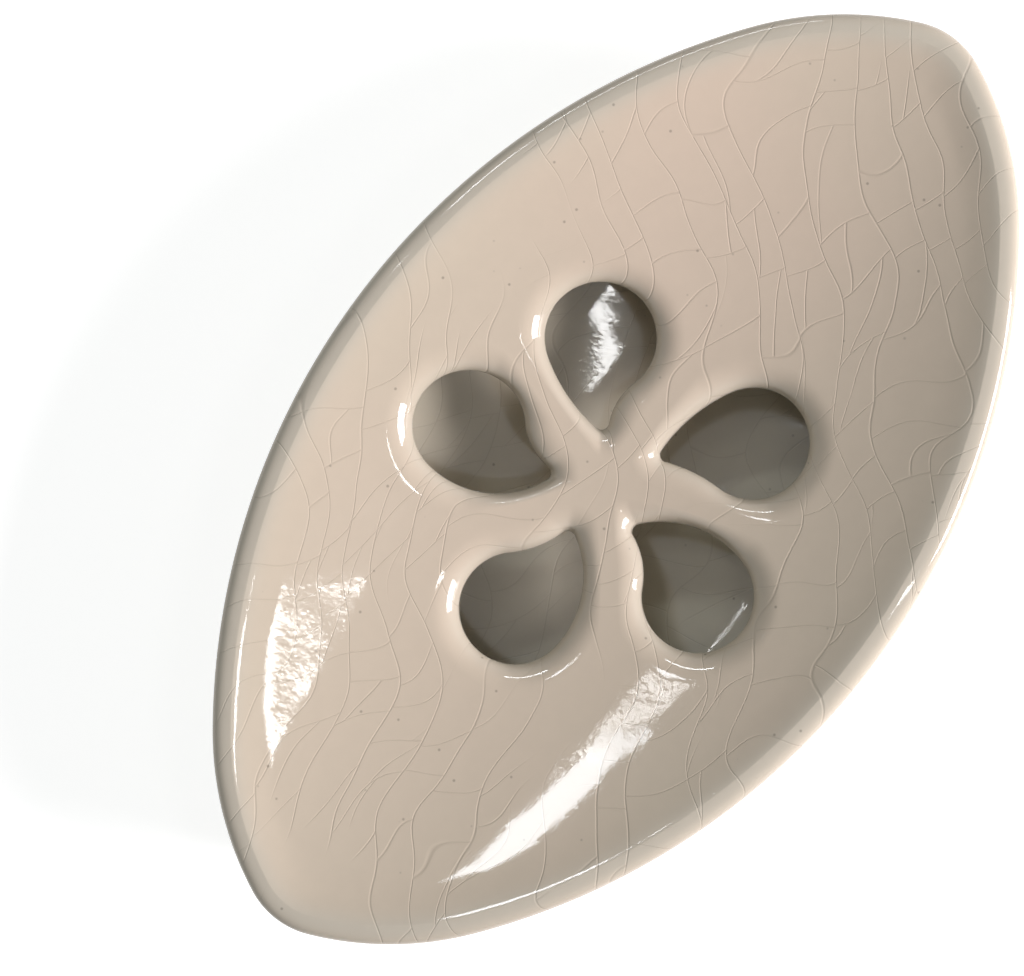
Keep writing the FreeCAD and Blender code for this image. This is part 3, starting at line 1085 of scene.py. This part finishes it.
@dataclass(frozen=True)
class Lamp:
    """A soft lamp: its place and two sides in metres, its brightness, colour and the way it faces."""

    name: str
    place: tuple[float, float, float]
    sides: Span
    brightness: float
    colour: Colour = WHITE
    facing: Facing = Facing.DOWN
    turn: float = 0.0

    def hang(self, target: Vector) -> None:
        """Hangs the lamp; its power is brightness times pi times its area.

        Args:
            target: The point on the dish that it may face.
        """
        light = bpy.data.lights.new(self.name, "AREA")
        light.shape = "RECTANGLE"
        light.size, light.size_y = self.sides
        light.energy = self.brightness * math.pi * self.sides[0] * self.sides[1]
        light.color = self.colour
        lamp = bpy.data.objects.new(self.name, light)
        ahead = target - Vector(self.place) if self.facing is Facing.DISH else Vector((0.0, 0.0, -1.0))
        facing = ahead.to_track_quat("-Z", "Y").to_matrix().to_4x4()
        turned = Matrix.Rotation(math.radians(self.turn), 4, "Z")
        lamp.matrix_world = Matrix.Translation(self.place) @ facing @ turned
        bpy.context.scene.collection.objects.link(lamp)


@dataclass
class Studio:
    """The floor, the light and the camera, in metres and degrees."""

    floor_half: float = 2.0
    floor_colour: Colour = (0.80, 0.80, 0.80)
    floor_roughness: float = 0.9
    floor_glow: float = 0.72
    zenith: float = 0.16
    horizon: float = 0.42
    sky_rise: float = 0.5
    sky_colour: Colour = (0.96, 1.0, 0.94)
    eye_distance: float = 0.45
    eye_tilt: float = 2.5
    roll: float = 37.7
    lens: float = 103.4
    sensor: float = 36.0
    sight: Span = (0.01, 20.0)
    aim_right: float = -0.0155
    aim_up: float = -0.0012
    rim_level: float = 0.028
    lamps: tuple[Lamp, ...] = (
        Lamp("window_lamp", (0.038, -0.153, 0.47), (0.010, 0.090), 22.0, turn=12.5),
        Lamp("strip_lamp", (0.200, 0.655, 1.50), (0.125, 0.125), 16.0, (0.91, 0.95, 1.0)),
        Lamp("strip_leg_lamp", (0.016, 0.171, 0.47), (0.0025, 0.035), 24.0),
        Lamp("line_lamp", (-0.0185, 0.438, 0.55), (0.024, 0.004), 24.0),
        Lamp("rim_lamp", (0.675, 0.864, 1.048), (0.63, 0.07), 20.0, (0.90, 0.97, 1.0), Facing.DISH),
        Lamp("key_lamp", (0.447, -0.887, 0.502), (0.45, 0.45), 26.0, (1.0, 0.96, 0.985), Facing.DISH),
    )

    def lay_floor(self) -> None:
        """Lays a plain pale floor that the camera and reflections see as white but for the dish's shadow."""
        mesh = bpy.data.meshes.new("floor")
        half = self.floor_half
        corners = [(-half, -half, 0), (half, -half, 0), (half, half, 0), (-half, half, 0)]
        mesh.from_pydata(corners, [], [(0, 1, 2, 3)])
        floor = bpy.data.objects.new("floor", mesh)
        bpy.context.scene.collection.objects.link(floor)
        material = bpy.data.materials.new("pale_floor")
        material.use_nodes = True
        sheet = NodeSheet(material.node_tree)
        shader = material.node_tree.nodes["Principled BSDF"]
        values = {
            "Base Color": rgba(self.floor_colour), "Roughness": self.floor_roughness,
            "Specular IOR Level": 0.0, "Emission Color": rgba(WHITE),
            "Emission Strength": sheet.maths("MULTIPLY", sheet.seen(), self.floor_glow),
        }
        for name, value in values.items():
            sheet.feed(shader.inputs[name], value)
        mesh.materials.append(material)

    def light(self) -> None:
        """Hangs the lamps and sets a pale sky, brightest along the horizon, that is seen as white."""
        for lamp in self.lamps:
            lamp.hang(Vector((0.0, 0.0, self.rim_level)))
        world = bpy.data.worlds.new("studio_sky")
        world.use_nodes = True
        sheet = NodeSheet(world.node_tree)
        sky = world.node_tree.nodes["Background"]
        seen = sheet.seen()
        ray = sheet.add("SeparateXYZ", Vector=sheet.add("TexCoord").outputs["Generated"])
        strength = sheet.step(ray.outputs["Z"], 0.0, self.sky_rise, self.horizon, self.zenith)
        sheet.feed(sky.inputs["Color"], sheet.blend(seen, rgba(self.sky_colour), rgba(WHITE)))
        sheet.feed(sky.inputs["Strength"], sheet.maths("MAXIMUM", strength, seen))
        bpy.context.scene.world = world
        bpy.context.scene.view_settings.view_transform = "Standard"

    def place_camera(self) -> None:
        """Places the camera over the dish, turned so that the leaf runs to the upper right of the picture.

        The eye lies a distance from the middle of the rim, tilted from the vertical towards -Y; the picture's
        upright is the plan direction at the roll angle from +X.
        """
        tilt, roll = math.radians(self.eye_tilt), math.radians(self.roll)
        middle = Vector((0.0, 0.0, self.rim_level))
        eye = middle + Vector((0.0, -math.sin(tilt), math.cos(tilt))) * self.eye_distance
        up = Vector((math.cos(roll), math.sin(roll), 0.0))
        right = Vector((math.sin(roll), -math.cos(roll), 0.0))
        ahead = (middle + right * self.aim_right + up * self.aim_up - eye).normalized()
        side = ahead.cross(up).normalized()
        top = side.cross(ahead)
        data = bpy.data.cameras.new("camera")
        data.lens, data.sensor_width, data.sensor_fit = self.lens, self.sensor, "HORIZONTAL"
        data.clip_start, data.clip_end = self.sight
        camera = bpy.data.objects.new("camera", data)
        camera.matrix_world = Matrix.Translation(eye) @ Matrix((side, top, -ahead)).transposed().to_4x4()
        bpy.context.scene.collection.objects.link(camera)
        bpy.context.scene.camera = camera


def main() -> None:
    """Builds the dish and the studio, and reports each piece."""
    logging.basicConfig(level=logging.INFO)
    glazes = GlazeMaker(GlazeGroups())
    for part in (DripTray(), DrainPlate()):
        piece = part.build()
        part.dress(piece, glazes)
        log.info("%s: %d faces", piece.name, len(piece.data.polygons))
    studio = Studio()
    studio.lay_floor()
    studio.light()
    studio.place_camera()


if __name__ == "__main__":
    main()
